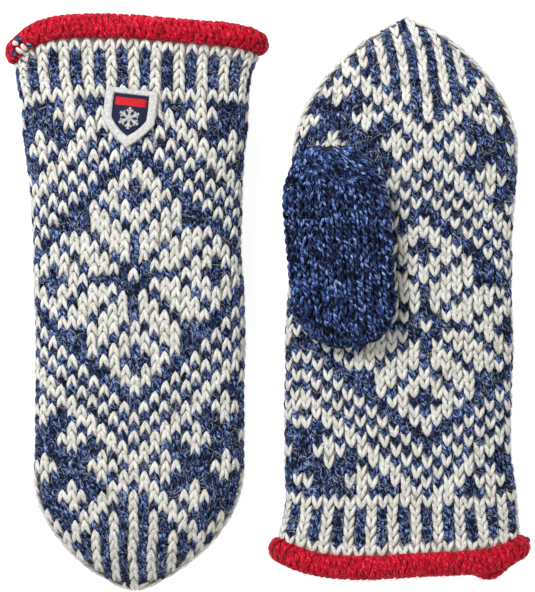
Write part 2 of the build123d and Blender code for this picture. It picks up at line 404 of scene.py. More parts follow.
def new_object(name, data):
    ob = bpy.data.objects.new(name, data)
    bpy.context.scene.collection.objects.link(ob)
    return ob


def mesh_object(name, points, faces):
    mesh = bpy.data.meshes.new(name)
    points = np.array(points, float)
    points[:, 2] = np.maximum(points[:, 2], LOWEST)
    mesh.from_pydata((points * MM).tolist(), [], faces)
    mesh.shade_smooth()
    mesh.update()
    return new_object(name, mesh)


def grid_faces(count, columns, flip, closed=False):
    """Faces between the points of a grid that goes round a tube, and the grid of point numbers."""
    grid = np.arange(count * columns).reshape(count, columns)
    after = np.roll(grid, -1, 1)
    lower, upper = (grid, np.roll(grid, -1, 0)) if closed else (grid[:-1], grid[1:])
    lower_after, upper_after = (after, np.roll(after, -1, 0)) if closed else (after[:-1], after[1:])
    quads = np.stack([lower, lower_after, upper_after, upper], axis=-1).reshape(-1, 4)
    return (quads[:, ::-1] if flip else quads), grid


def upright(points, up=1.0):
    """Normals that point straight up, or down when up is -1, at every point."""
    return np.broadcast_to(np.array([0.0, 0.0, up]), points.shape)


def tubes(name, centres, normals, half_widths, half_depths, sides=LEG_SIDES, groove=0.0):
    """One closed tube along each row of centres, oval, with its flat side along the fabric.

    Its points carry their place in the yarn: along it, round it, and a number of the yarn's own."""
    count, length, _ = centres.shape
    tangent = unit(np.gradient(centres, axis=1))
    across = unit(np.cross(normals, tangent))
    up = np.cross(tangent, across)
    half_widths = np.broadcast_to(half_widths, (count, length))
    half_depths = np.broadcast_to(half_depths, (count, length))
    angle = 2 * pi * np.arange(sides) / sides - pi / 2
    parts = np.linalg.norm(np.diff(centres, axis=1), axis=2)
    run = np.concatenate([np.zeros((count, 1)), np.cumsum(parts, axis=1)], axis=1)
    rng = np.random.default_rng(count + SEED)
    lay = 2 * pi * (run / PLY_LAY + rng.uniform(0, 1, (count, 1)))
    ply = 1 + groove * np.cos(2 * angle[None, None, :] - lay[:, :, None])
    wide = (np.cos(angle) * half_widths[:, :, None] * ply)[..., None]
    deep = (np.sin(angle) * half_depths[:, :, None] * ply)[..., None]
    ring = across[:, :, None, :] * wide + up[:, :, None, :] * deep
    points = (centres[:, :, None, :] + ring).reshape(-1, 3)
    grid = np.arange(len(points)).reshape(count, length, sides)
    after = np.roll(grid, -1, 2)
    quads = np.stack([grid[:, :-1], after[:, :-1], after[:, 1:], grid[:, 1:]], axis=-1).reshape(-1, 4)
    ends = grid[:, 0, ::-1].tolist() + grid[:, -1].tolist()
    ob = mesh_object(name, points, quads.tolist() + ends)
    yarn = np.zeros((count, length, sides, 3), np.float32)
    yarn[..., 0] = run[:, :, None]
    yarn[..., 1] = angle * half_widths.mean()
    yarn[..., 2] = rng.uniform(0, 100, count)[:, None, None]
    layer = ob.data.attributes.new("yarn", "FLOAT_VECTOR", "POINT")
    layer.data.foreach_set("vector", yarn.reshape(-1))
    return ob


@dataclass
class Stitches:
    """Stitches of one yarn: where each is round the tube, and in which row."""
    wale: np.ndarray
    edge: np.ndarray  # which wale of the band along a side edge it is, else 0
    half_turn: np.ndarray  # 0 on the upper panel, 0.5 on the lower one
    row: np.ndarray


def track(fabric, s, row):
    """Where the middle of each stitch runs round the tube, and one wale's share of the way round."""
    share = fabric.wale_share(row)
    turn = np.where(s.half_turn[:, None] > 0, -1.0, 1.0)
    side = s.edge[:, None]
    panel_middle = s.half_turn[:, None] + fabric.chart_shift(row)
    beside = np.where(np.abs(side) > 0.5, 0.5, -0.5) * np.sign(side) * share
    middle = np.where(side == 0, panel_middle, 0.25 * np.sign(side) + beside)
    return middle + turn * s.wale[:, None] * share, share


@dataclass
class Lay:
    """How the legs of a stitch lie, from the point of the V to the end of each leg."""
    spread: tuple  # distance from the stitch's middle, wales
    height: tuple  # over the fabric, mm
    fullness: tuple


LEG_AT = (0.0, 0.12, 0.30, 0.52, 0.76, 1.0)
HAND_LAY = Lay((0.025, 0.070, 0.145, 0.240, 0.350, 0.435), (0.05, 0.36, 0.62, 0.60, 0.28, -0.45),
               (0.30, 0.56, 0.88, 1.00, 0.80, 0.28))
THUMB_LAY = Lay((0.030, 0.080, 0.150, 0.240, 0.340, 0.420), (0.10, 0.60, 1.00, 0.90, 0.10, -0.90),
                (0.30, 0.56, 0.88, 1.00, 0.80, 0.28))
ROLL_LAY = Lay((0.130, 0.150, 0.195, 0.250, 0.310, 0.350), (0.28, 0.44, 0.54, 0.52, 0.40, 0.15),
               (0.60, 0.86, 1.00, 1.00, 0.90, 0.60))
LEG_FROM = -0.50  # rows from the stitch's own row to the point of the V
LEG_ROWS = 1.48


def knit(name, fabric, s, half_width, half_depth=YARN_HALF_DEPTH, lay=HAND_LAY):
    rng = np.random.default_rng(SEED + len(s.row))
    count = (len(s.row), 1)
    t = steps(LEG_POINTS)
    wale_wander, row_wander = fabric.wander(s.wale[:, None] + 40 * s.half_turn[:, None], s.row[:, None])
    stray_row = row_wander + rng.normal(0, 0.05, count)
    stray_wale = wale_wander + rng.normal(0, 0.03, count) + rng.normal(0, 0.035, count) * t
    legs = []
    for side in (-1, 1):
        row = s.row[:, None] + LEG_FROM + LEG_ROWS * t + stray_row + rng.normal(0, 0.03, count)
        f, share = track(fabric, s, row)
        spread = np.interp(t, LEG_AT, lay.spread) * (1 + rng.normal(0, 0.07, count))
        depth = np.interp(t, LEG_AT, lay.height) + rng.normal(0, 0.09, count)
        legs.append(fabric.place(f + (side * spread + stray_wale) * share, row, depth))
    centres = np.concatenate([c for c, _ in legs])
    normals = np.concatenate([n for _, n in legs])
    fullness = np.interp(t, LEG_AT, lay.fullness) * (1 + rng.normal(0, 0.05, (len(centres), 1)))
    return tubes(name, centres, normals, half_width * fullness, half_depth * fullness ** 0.8,
                 groove=PLY_GROOVE)


def stray_fibres(name, fabric, count, turns, rows, wale_mm, row_mm, seed):
    """Single wool fibres that stand off the yarn and curl over the fabric."""
    rng = np.random.default_rng(seed)
    t = steps(6)
    start = rng.uniform(*rows, (count, 1))
    heading = rng.uniform(0, 2 * pi, (count, 1)) + rng.normal(0, 1.3, (count, 1)) * t
    step = rng.uniform(1.5, 6.5, (count, 1)) / 5
    across = np.cumsum(np.cos(heading), axis=1) * step
    along = np.cumsum(np.sin(heading), axis=1) * step
    row = np.clip(start + along / row_mm, *rows)
    share = fabric.wale_share(row)
    f = rng.uniform(*turns, (count, 1)) + across / wale_mm * share
    depth = 0.85 + rng.uniform(0.1, 1.2, (count, 1)) * np.sin(pi * t) ** 2 + rng.normal(0, 0.12, f.shape)
    centres, normals = fabric.place(f, row, depth)
    thick = rng.uniform(0.03, 0.055, (count, 1))
    return tubes(name, centres, normals, thick, thick, 3)


# ---- materials ----
def srgb(r, g, b):
    channel = [(c / 255 / 12.92 if c / 255 <= 0.04045 else ((c / 255 + 0.055) / 1.055) ** 2.4)
               for c in (r, g, b)]
    return (*channel, 1.0)


def new_material(name, roughness, sheen, sheen_tint=(1, 1, 1, 1)):
    mat = bpy.data.materials.new(name)
    mat.use_nodes = True
    shader = mat.node_tree.nodes["Principled BSDF"]
    shader.inputs["Roughness"].default_value = roughness
    shader.inputs["Sheen Weight"].default_value = sheen
    shader.inputs["Sheen Tint"].default_value = sheen_tint
    shader.inputs["Sheen Roughness"].default_value = 0.45
    shader.inputs["Specular IOR Level"].default_value = 0.15
    return mat, mat.node_tree, shader


def ramp_node(tree, stops):
    node = tree.nodes.new("ShaderNodeValToRGB")
    elements = node.color_ramp.elements
    while len(elements) < len(stops):
        elements.new(0.5)
    for element, (position, colour) in zip(elements, stops):
        element.position = position
        element.color = srgb(*colour)
    return node


def noise_node(tree, vector, scale, detail, roughness=0.5):
    node = tree.nodes.new("ShaderNodeTexNoise")
    node.inputs["Scale"].default_value = scale
    node.inputs["Detail"].default_value = detail
    node.inputs["Roughness"].default_value = roughness
    tree.links.new(vector, node.inputs["Vector"])
    return node


def multiply(tree, amount, first, second):
    """One colour multiplied by another, by an amount from 0 to 1."""
    node = tree.nodes.new("ShaderNodeMix")
    node.data_type = "RGBA"
    node.blend_type = "MULTIPLY"
    node.inputs[0].default_value = amount
    tree.links.new(first, node.inputs[6])
    tree.links.new(second, node.inputs[7])
    return node.outputs[2]


def add_relief(tree, shader, pattern, strength, distance):
    node = tree.nodes.new("ShaderNodeBump")
    node.inputs["Strength"].default_value = strength
    node.inputs["Distance"].default_value = distance
    tree.links.new(pattern.outputs["Fac"], node.inputs["Height"])
    tree.links.new(node.outputs["Normal"], shader.inputs["Normal"])


def wool(name, stops, patch_stops, patch_amount, strand_scale, bump, sheen, sheen_tint):
    """Spun wool: twisted strands along each yarn, over slow changes of tone from patch to patch. Where
    the stops say so, the strand colours hold painted shade between the strands and a painted highlight
    on them.
    """
    mat, tree, shader = new_material(name, 0.9, sheen, sheen_tint)
    nodes, links = tree.nodes, tree.links
    yarn = nodes.new("ShaderNodeAttribute")
    yarn.attribute_name = "yarn"
    twist = nodes.new("ShaderNodeMapping")
    twist.inputs["Rotation"].default_value = (0, 0, 0.5)
    links.new(yarn.outputs["Vector"], twist.inputs["Vector"])
    stretch = nodes.new("ShaderNodeMapping")
    stretch.inputs["Scale"].default_value = (0.30, 0.80, 1.0)
    links.new(twist.outputs["Vector"], stretch.inputs["Vector"])
    strands = noise_node(tree, stretch.outputs["Vector"], strand_scale, 3.0, 0.62)
    colour = ramp_node(tree, stops)
    links.new(strands.outputs["Fac"], colour.inputs["Fac"])
    place = nodes.new("ShaderNodeTexCoord")
    patches = noise_node(tree, place.outputs["Object"], 170.0, 2.0)
    patch_colour = ramp_node(tree, patch_stops)
    links.new(patches.outputs["Fac"], patch_colour.inputs["Fac"])
    shaded = multiply(tree, patch_amount, colour.outputs["Color"], patch_colour.outputs["Color"])
    links.new(shaded, shader.inputs["Base Color"])
    add_relief(tree, shader, strands, bump, 0.0004)
    return mat


# White wool: the darkest strand stop is painted shade in the grooves between the strands; the other
# stops are the yarn's own off-white.
WHITE_WOOL = wool(
    "white_wool",
    [(0.28, (170, 165, 154)), (0.44, (211, 210, 203)), (0.68, (231, 231, 226))],
    [(0.3, (228, 225, 218)), (0.6, (255, 255, 255))], 0.7, 1.6, 0.6, 0.4, (1, 1, 1, 1))
BLUE_WOOL = wool(
    "blue_marl_wool",
    [(0.42, (2, 4, 12)), (0.475, (20, 28, 54)), (0.515, (50, 72, 128)),
     (0.57, (84, 112, 170)), (0.68, (172, 184, 208))],
    [(0.38, (84, 88, 110)), (0.56, (255, 255, 255))], 0.9, 1.5, 0.8, 0.15, (0.5, 0.58, 0.8, 1))
THUMB_WOOL = wool(
    "thumb_blue_wool",
    [(0.40, (1, 4, 16)), (0.465, (18, 28, 62)), (0.525, (52, 78, 138)),
     (0.59, (92, 120, 180)), (0.69, (176, 190, 216))],
    [(0.38, (76, 80, 104)), (0.56, (255, 255, 255))], 0.9, 1.1, 0.8, 0.08, (0.5, 0.58, 0.8, 1))
# Red wool: the darkest strand stop is painted shade between the strands and the lightest a painted
# highlight on them; the middle stops are the yarn's own crimson.
RED_WOOL = wool(
    "red_wool",
    [(0.34, (118, 0, 16)), (0.46, (178, 2, 30)), (0.56, (205, 14, 48)),
     (0.70, (248, 78, 106))],
    [(0.3, (196, 180, 186)), (0.6, (255, 255, 255))], 0.7, 1.7, 0.8, 0.08, (1, 0.3, 0.4, 1))


def plain(name, colour, dark, scale, roughness=0.9, sheen=0.2, bump=0.5):
    mat, tree, shader = new_material(name, roughness, sheen)
    place = tree.nodes.new("ShaderNodeTexCoord")
    grain = noise_node(tree, place.outputs["Object"], scale, 3.0)
    shade = ramp_node(tree, [(0.35, dark), (0.65, colour)])
    tree.links.new(grain.outputs["Fac"], shade.inputs["Fac"])
    tree.links.new(shade.outputs["Color"], shader.inputs["Base Color"])
    add_relief(tree, shader, grain, bump, 0.0005)
    return mat


# The next three colours, for the inside faces of the hand and thumb, are partly the real inside of the
# knit and partly painted shade: darker than their yarns, to stand for the shade in the gaps between
# stitches.
WHITE_BACK_GAP_SHADE = plain("white_back_gap_shade", (186, 181, 170), (140, 134, 124), 900.0)
BLUE_BACK_GAP_SHADE = plain("blue_back_gap_shade", (24, 34, 66), (8, 10, 22), 900.0)
THUMB_BACK_GAP_SHADE = plain("thumb_back_gap_shade", (8, 12, 30), (2, 3, 10), 900.0)
RED_BACK = plain("red_back", (168, 10, 34), (120, 2, 20), 900.0)
FLEECE = plain("fleece", (44, 50, 68), (22, 26, 38), 420.0, 0.95, 0.4, 1.0)
WHITE_FIBRE = plain("white_fibre", (232, 230, 224), (204, 200, 192), 900.0)
BLUE_FIBRE = plain("blue_fibre", (112, 132, 178), (46, 62, 112), 500.0)
RED_FIBRE = plain("red_fibre", (238, 84, 104), (196, 20, 48), 700.0)
BADGE_WHITE = plain("badge_white", (216, 215, 212), (176, 175, 174), 1100.0, 0.7, 0.1, 0.6)
BADGE_NAVY = plain("badge_navy", (34, 42, 78), (20, 26, 52), 3000.0, 0.6, 0.1, 0.4)
BADGE_RED = plain("badge_red", (216, 44, 48), (176, 24, 34), 3000.0, 0.6, 0.1, 0.3)
THREAD = plain("seam_thread", (225, 225, 228), (190, 190, 196), 3000.0, 0.5, 0.1, 0.3)


def dress(m, piece, material, slot, replaced=None):
    """Gives a piece that rides on the hand its material, attaches it to the hand and hides the CAD piece
    it stands for. The slot is not used.
    """
    piece.data.materials.append(material)
    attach(piece, f"{m.side}_mitten")
    if replaced:
        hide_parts(f"{m.side}_{replaced}")


# ---- hands ----
EDGE_BANDS = (-0.75, -0.25, 0.25, 0.75)  # two wales along each side edge of the tip


def hand_stitches(m, fabric):
    """Every stitch of a hand, sorted by panel, yarn and half of the hand."""
    found = {}
    for panel, half_turn in (("upper", 0.0), ("lower", 0.5)):
        palm = (panel == "upper") == m.palm_up
        for row in range(FIRST_ROW, m.last_row + 1):
            zone = "wrist" if row < 0 else "fingers"
            share = fabric.wale_share(row + 0.4)
            shift = fabric.chart_shift(row + 0.4) * (1 if half_turn == 0 else -1)
            in_tip = m.tip_fraction(m.row_y(row)) > 0
            limit = 0.25 - 1.45 * share if in_tip else 0.25 - 0.4 * share
            for wale in range(-15, 16):
                place = wale * share + (shift if in_tip else 0.0)
                if abs(place) > limit:
                    continue
                yarn = "white" if is_white(wale, row, palm) else "blue"
                found.setdefault((panel, yarn, zone), []).append((wale, 0, half_turn, row))
            if in_tip and panel == "upper":
                for edge in EDGE_BANDS:
                    face = "upper" if edge in EDGE_BANDS[1:3] else "lower"
                    key = (face, "white", zone)
                    found.setdefault(key, []).append((0, edge, 0.0, row))
    return {key: Stitches(*np.array(rows, float).T) for key, rows in found.items()}


def backing(m, fabric, name):
    """The inside face of the knit, seen in the gaps between stitches, and coloured darker than its yarns
    as painted shade for those gaps.
    """
    rows = np.arange(FIRST_ROW - 0.5, m.last_row + 1.2, 0.5)
    columns = WALES_ROUND * 2
    points = fabric.layer(rows, columns, BACKING_DEPTH)
    quads, grid = grid_faces(len(rows), columns, m.toward < 0)
    tip = grid[-1] if m.toward > 0 else grid[-1][::-1]
    piece = mesh_object(name, points.reshape(-1, 3), quads.tolist() + [tip.tolist()])
    piece.data.materials.append(WHITE_BACK_GAP_SHADE)
    piece.data.materials.append(BLUE_BACK_GAP_SHADE)
    slots = np.zeros(len(quads) + 1, np.int32)
    for i, row in enumerate(rows[:-1] + 0.25):
        share = fabric.wale_share(row)
        shift = fabric.chart_shift(row)
        stitch_row = max(int(round(row - 0.35)), FIRST_ROW)
        for j, place in enumerate(np.arange(columns) / columns + 0.5 / columns):
            turn = (place - shift + 0.25) % 1.0 - 0.25
            wale = turn / share if turn < 0.25 else (0.5 - turn) / share
            palm = (turn < 0.25) == m.palm_up
            slots[i * columns + j] = 0 if is_white(int(round(wale)), stitch_row, palm) else 1
    piece.data.polygons.foreach_set("material_index", slots)
    return piece


WOOLS = {"white": (WHITE_WOOL, "white_wool"), "blue": (BLUE_WOOL, "blue_marl_wool")}
FIBRES = {"white": (WHITE_FIBRE, "white_wool"), "blue": (BLUE_FIBRE, "blue_marl_wool")}
FIBRES_PER_FACE = 3200


def make_hand(m):
    fabric = hand_fabric(m)
    for (panel, yarn, zone), s in hand_stitches(m, fabric).items():
        piece = knit(f"{m.side}_{zone}_{yarn}_{panel}", fabric, s, YARN_HALF_WIDTH[yarn])
        first = (panel, yarn, zone) == ("upper", "white", "wrist")
        dress(m, piece, *WOOLS[yarn], "hand_knit" if first else None)
    for i, (panel, turns) in enumerate((("upper", (-0.26, 0.26)), ("lower", (0.26, 0.74)))):
        for j, yarn in enumerate(("white", "blue")):
            fuzz = stray_fibres(f"{m.side}_fibres_{yarn}_{panel}", fabric, FIBRES_PER_FACE, turns,
                                (FIRST_ROW, m.last_row - 1.0), WALE_PITCH, ROW_PITCH,
                                SEED + 10 * i + j)
            dress(m, fuzz, *FIBRES[yarn])
    back = backing(m, fabric, f"{m.side}_hand_inside_face_gap_shade")
    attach(back, f"{m.side}_mitten")
    return fabric


# ---- rolled edge ----
ROLL_HALF_HEIGHT = 4.9
ROLL_HALF_DEPTH = 4.2
ROLL_YARN = (1.26, 0.50)  # half width and half depth of a leg
ROLL_PITCH = 4.1  # of its rows
ROLL_FIBRES = 700
ROLL_CORE_DEPTH = 0.05
ROLL_START = 0.15  # radians past the fabric's own direction, where the red yarn begins


def roll_fabric(m, fabric):
    """The edge of the knit rolled outwards: rows run round the roll, wales run across it."""
    rows = np.arange(-ROLL_ROWS - 0.5, 1.6, FINE_STEP)
    columns = WALES_ROUND * COLUMNS_PER_WALE
    f = np.arange(columns) / columns
    base, normal = fabric.place(f, np.full(columns, FIRST_ROW - 0.5), np.zeros(columns))
    normal[:, 1] = 0
    normal = unit(normal)
    ahead = np.array([0.0, m.toward, 0.0])
    centre = base - ahead * (ROLL_HALF_HEIGHT - 0.3) + normal * 0.9
    angle = (ROLL_START - rows * 2 * pi / ROLL_ROWS)[:, None, None]
    points = (centre[None] + ROLL_HALF_HEIGHT * np.cos(angle) * ahead
              + ROLL_HALF_DEPTH * np.sin(angle) * normal[None])
    points[..., 2] = np.maximum(points[..., 2], FLOOR)
    share = np.full(len(rows), 1 / WALES_ROUND)
    return Fabric(points, rows[0], FINE_STEP, share, np.zeros(len(rows)), m.toward, m.noise_seed)


def make_roll(m, fabric):
    roll = roll_fabric(m, fabric)
    wale, row = np.meshgrid(np.arange(WALES_ROUND), np.arange(-ROLL_ROWS, 0))
    flat = np.zeros(wale.size)
    s = Stitches(wale.ravel() + 0.25 * (row.ravel() % 2), flat, flat, row.ravel() + 0.55)
    piece = knit(f"{m.side}_rolled_edge", roll, s, *ROLL_YARN, ROLL_LAY)
    dress(m, piece, RED_WOOL, "red_wool", "cuff_roll")
    fuzz = stray_fibres(f"{m.side}_fibres_red", roll, ROLL_FIBRES, (0.0, 1.0),
                        (-ROLL_ROWS + 0.5, -0.5), WALE_PITCH, ROLL_PITCH, SEED + 31)
    dress(m, fuzz, RED_FIBRE, "red_wool")
    rows = np.arange(-ROLL_ROWS, 0.01, 0.5)[:-1]
    columns = WALES_ROUND * 2
    points = roll.layer(rows, columns, ROLL_CORE_DEPTH)
    quads, _ = grid_faces(len(rows), columns, m.toward < 0, closed=True)
    core = mesh_object(f"{m.side}_rolled_edge_core", points.reshape(-1, 3), quads.tolist())
    dress(m, core, RED_BACK, "red_wool")
    return roll


# ---- linings ----
def closed_layer(name, outer, inner, flip):
    """A layer between two grids of points, joined at the mouth and closed at the tip."""
    points = np.concatenate([outer[::-1], inner])
    columns = outer.shape[1]
    quads, grid = grid_faces(len(points), columns, not flip)
    tips = [grid[0], grid[-1][::-1]] if flip else [grid[0][::-1], grid[-1]]
    return mesh_object(name, points.reshape(-1, 3), quads.tolist() + [t.tolist() for t in tips])


def make_lining(m, fabric):
    rows = np.arange(FIRST_ROW - 1.3, m.last_row - 4.5, 0.5)
    y = m.row_y(rows)
    columns = WALES_ROUND * 4
    outer, _ = hand_points(m, y, columns, LINING_INSET)
    inner, _ = hand_points(m, y, columns, LINING_INSET + LINING_THICK)
    inner = inner + np.random.default_rng(SEED).normal(0, LINING_NAP, inner.shape)
    piece = closed_layer(f"{m.side}_fleece", outer, inner, m.toward < 0)
    dress(m, piece, FLEECE, "fleece_lining", "hand_lining")
    count = WALES_ROUND * 2
    t = steps(5)
    f = (np.arange(count) / count)[:, None] + 0.006 * (t - 0.5)
    row = FIRST_ROW - 1.55 + 0.6 * t + 0 * f
    legs, _ = fabric.place(f, row, -LINING_INSET - 0.4 - 1.4 * np.sin(pi * t) + 0 * f)
    seam = tubes(f"{m.side}_lining_seam", legs, upright(legs), SEAM_HALF, SEAM_HALF, 5)
    dress(m, seam, THREAD, "seam_thread", "lining_seam_thread")


# ---- thumbs ----
THUMB_THICK = {True: 13.6, False: 10.4}  # above a palm that faces up, or folded under one
THUMB_MIDDLE = 0.45  # share of its thickness at which its upper and lower faces meet
THUMB_TIP_ROUND = 28.7  # length of its rounded tip
THUMB_BASE_ROUND = 19.0
THUMB_DROOP = 6.5  # how far its outer edge hangs down the side of the hand
THUMB_OVER_PALM = 1.1
THUMB_OVER_FLOOR = 1.9
THUMB_YARN = (0.90, 0.95)  # half width and half depth of a leg
THUMB_INSIDE_DEPTH = -0.8
THUMB_FLEECE_ROWS = (7.5, 20.0)
THUMB_FLEECE_DEPTHS = (-3.2, -4.4)
THUMB_FIBRES = 600


def palm_height(m, x, y):
    """Height of the upper face of the hand, no lower than a draped thumb would hang."""
    return np.maximum(hand_top(m, x, y), m.height_at(y) - THUMB_DROOP)


def thumb_fabric(m):
    rows = np.arange(-0.5, THUMB_LENGTH / THUMB_PITCH + 0.6, FINE_STEP)
    s = np.clip(rows * THUMB_PITCH, 0.3, THUMB_LENGTH - 0.05)
    base = 1 - np.clip(s / THUMB_BASE_ROUND, 0, 1)
    tip = np.clip((s - THUMB_LENGTH + THUMB_TIP_ROUND) / THUMB_TIP_ROUND, 0, 1)
    belly = 1 + 0.035 * np.sin(pi * np.clip(s / THUMB_LENGTH, 0, 1) * 1.3 - 0.9)
    half = (THUMB_HALF - 1.2) * belly * (1 - base ** 2) ** 0.5 * (1 - tip ** 2) ** 0.5 + 0.3
    thick = THUMB_THICK[m.palm_up] * (1 - base ** 2) ** 0.5 * (1 - tip ** 3) ** 0.5 + 0.5
    zero = np.zeros_like(s)
    x, z, arc = section_grid(half, thick, THUMB_MIDDLE * thick, zero, THUMB_WALES * COLUMNS_PER_WALE)
    y = np.broadcast_to((THUMB_START + s)[:, None], x.shape)
    x = x + m.thumb_centre + m.thumb_lean * (s / THUMB_LENGTH - 0.5)[:, None]
    if m.palm_up:
        z = z + palm_height(m, x, y) + YARN_RISE + THUMB_OVER_PALM
        calm = (1 - base[:, None]) * (1 - tip[:, None])
        z = z + 0.5 * ripple(x * 2, y * 2, m.noise_seed + 5) * calm
    else:
        z = z + THUMB_OVER_FLOOR
    points = m.world(x, y, z)
    even = arc / (THUMB_WALES / 2)
    pitch = np.where(s < THUMB_LENGTH / 2, np.median(even), even)
    return Fabric(points, rows[0], FINE_STEP, pitch / (2 * arc), zero, m.toward, m.noise_seed)


def thumb_stitches(fabric):
    kept = []
    for half_turn in (0.0, 0.5):
        for row in range(0, int(THUMB_LENGTH / THUMB_PITCH)):
            share = fabric.wale_share(row + 0.4)
            for wale in range(-6, 7):
                if abs(wale * share) <= 0.25 - 0.3 * share:
                    kept.append((wale, 0, half_turn, row))
    return Stitches(*np.array(kept, float).T)


def dress_thumb(m, piece, material, replaced=None):
    """Dresses a piece of the thumb: gives it its material, hides the CAD piece it stands for and bakes
    its place into its points.
    """
    piece.data.materials.append(material)
    if replaced:
        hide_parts(f"{m.side}_{replaced}")
    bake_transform(piece)


def thumb_inside(m, fabric):
    """The inside face of the thumb's knit, in fine steps."""
    rows = np.arange(0.0, THUMB_LENGTH / THUMB_PITCH + 0.2, 0.125)
    columns = THUMB_WALES * 2
    points = fabric.layer(rows, columns, THUMB_INSIDE_DEPTH)
    quads, grid = grid_faces(len(rows), columns, m.toward < 0)
    tips = [grid[0][::-1].tolist(), grid[-1].tolist()]
    return mesh_object(f"{m.side}_thumb_inside_face_gap_shade", points.reshape(-1, 3), quads.tolist() + tips)


def make_thumb(m):
    fabric = thumb_fabric(m)
    stitches = knit(f"{m.side}_thumb_stitches", fabric, thumb_stitches(fabric), *THUMB_YARN, THUMB_LAY)
    dress_thumb(m, stitches, THUMB_WOOL, "thumb_knit")
    # The thumb's inside face is coloured near black, darker than its yarn: painted shade in the gaps
    # between its stitches.
    dress_thumb(m, thumb_inside(m, fabric), THUMB_BACK_GAP_SHADE)
    rows = np.arange(*THUMB_FLEECE_ROWS, 0.5)
    outer, inner = (fabric.layer(rows, THUMB_WALES * 2, depth) for depth in THUMB_FLEECE_DEPTHS)
    fleece = closed_layer(f"{m.side}_thumb_fleece", outer, inner, m.toward < 0)
    dress_thumb(m, fleece, FLEECE, "thumb_lining")
    fuzz = stray_fibres(f"{m.side}_fibres_thumb", fabric, THUMB_FIBRES, (0.0, 1.0),
                        (1.0, THUMB_LENGTH / THUMB_PITCH - 1.0), THUMB_WALE_PITCH, THUMB_PITCH,
                        SEED + 47)
    dress_thumb(m, fuzz, BLUE_FIBRE)
    make_thumb_gather(m, fabric)


def arcs(name, fabric, f, row, depth, half_width, half_depth):
    """Loose lengths of yarn that follow a fabric: f, row and depth hold one strand a row."""
    centres, normals = fabric.place(f, row, depth)
    taper = np.sin(pi * np.linspace(0.08, 0.92, f.shape[1])) ** 0.4
    return tubes(name, centres, normals, half_width * taper, half_depth * taper, 7)


SWIRL_ROWS = (1.5, 2.3, 3.1, 3.9)  # rings of drawn yarn, in rows back from the thumb's end


def make_thumb_gather(m, fabric):
    """Strands drawn together where the last loops of the thumb close, and the rings they pull up."""
    last = THUMB_LENGTH / THUMB_PITCH
    t = steps(7)
    start = (np.arange(9) / 9)[:, None]
    turns = [start + 0.10 * t]
    rows = [last - 0.2 - 2.0 * t * (1 - 0.2 * start)]
    for i, back in enumerate(SWIRL_ROWS):
        place = (-0.19 + 0.035 * i + 0.048 * np.arange(8 - i))[:, None]
        turns.append(place + 0.052 * t)
        rows.append(last - back - 30 * place ** 2 - 1.2 * (t - 0.5) + 0 * place)
    f, row = np.concatenate(turns), np.concatenate(rows)
    depth = 0.75 + 0.55 * np.sin(pi * t) + 0 * f
    piece = arcs(f"{m.side}_thumb_gather", fabric, f, row, depth, 0.85, 0.8)
    dress_thumb(m, piece, THUMB_WOOL, "thumb_gather_yarn")


LINKING_COUNT = 30
LINKING_HALF = 0.75  # half the thickness of the yarn


def make_linking_yarn(m):
    """Slanted stitches that join the base of the thumb to the palm."""
    turn = np.linspace(-1, 1, LINKING_COUNT) * pi / 2
    half = THUMB_HALF - 1.5
    x = m.thumb_centre - 0.4 * m.thumb_lean + half * np.sin(turn)
    y = THUMB_START + 0.5 + THUMB_BASE_ROUND * (1 - np.cos(turn))
    t = steps(5)
    px = x[:, None] + 1.6 * (t - 0.5)
    py = y[:, None] + 2.6 * (t - 0.5)
    lift = 0.9 * np.sin(pi * t)
    if m.palm_up:
        pz = palm_height(m, px, py) + 1.0 + lift
    else:
        pz = 1.1 + 0 * px + 0.2 * lift
    centres = m.world(px, py, pz)
    piece = tubes(f"{m.side}_thumb_linking", centres, upright(centres), LINKING_HALF, LINKING_HALF, 7)
    dress(m, piece, BLUE_WOOL, "blue_marl_wool", "thumb_linking_yarn")


def make_tip_gather(m, fabric):
    count = 5
    t = steps(6)
    f = (np.arange(count) / count)[:, None] + 0.12 * t
    row = m.last_row + 0.9 - 0.9 * t + 0 * f
    piece = arcs(f"{m.side}_tip_gather", fabric, f, row, 0.4 + 0 * f, 0.9, 0.8)
    dress(m, piece, WHITE_WOOL, "white_wool", "tip_gather_yarn")


# Each darning stitch: way round from the join, row of the roll, length round, length along in rows,
# and whether it is white
# The two navy stitches at rows -0.8 and -0.62, beside the white pair, are dark yarn put as painted shade
# round that white darning.
JOIN_STITCHES = ((-0.002, -1.75, 0.012, 0.5, False), (-0.007, -1.55, 0.008, 0.4, True),
                 (0.004, -0.72, 0.004, 0.8, True), (-0.004, -0.66, 0.006, 0.9, True),
                 (-0.013, -0.8, 0.006, 0.5, False), (0.013, -0.62, 0.004, 0.6, False),
                 (0.000, 0.1, 0.008, 0.4, True), (-0.016, 0.35, 0.014, 0.2, False))


def make_join(m, roll):
    """Darning where the round of the rolled edge is joined; two of its navy lengths are painted shade
    beside the white darning.
    """
    t = steps(6)
    for white in (True, False):
        chosen = np.array([s[:4] for s in JOIN_STITCHES if s[4] == white])
        f = m.join_turn + chosen[:, :1] + chosen[:, 2:3] * (t - 0.5)
        row = chosen[:, 1:2] + chosen[:, 3:4] * (t - 0.5)
        name = f"{m.side}_join_{'white' if white else 'navy'}"
        piece = arcs(name, roll, f, row, 0.9 + 0.7 * np.sin(pi * t) + 0 * f, 1.2, 0.9)
        dress(m, piece, *WOOLS["white" if white else "blue"], "cuff_join_yarn" if white else None)


# ---- badges ----
SATIN_PITCH = 0.42
SATIN_THREAD = 0.26
FIELD_LIFT = 0.75
EMBLEM_LIFT = 1.45
STRIPE = (4.2, 7.8)  # the red stripe, from the badge's top edge
STRIPE_SHARE = 0.82  # its width, as a share of the field's
FLAKE_MIDDLE = 13.6  # from the badge's top edge
FLAKE_ARM = 4.9


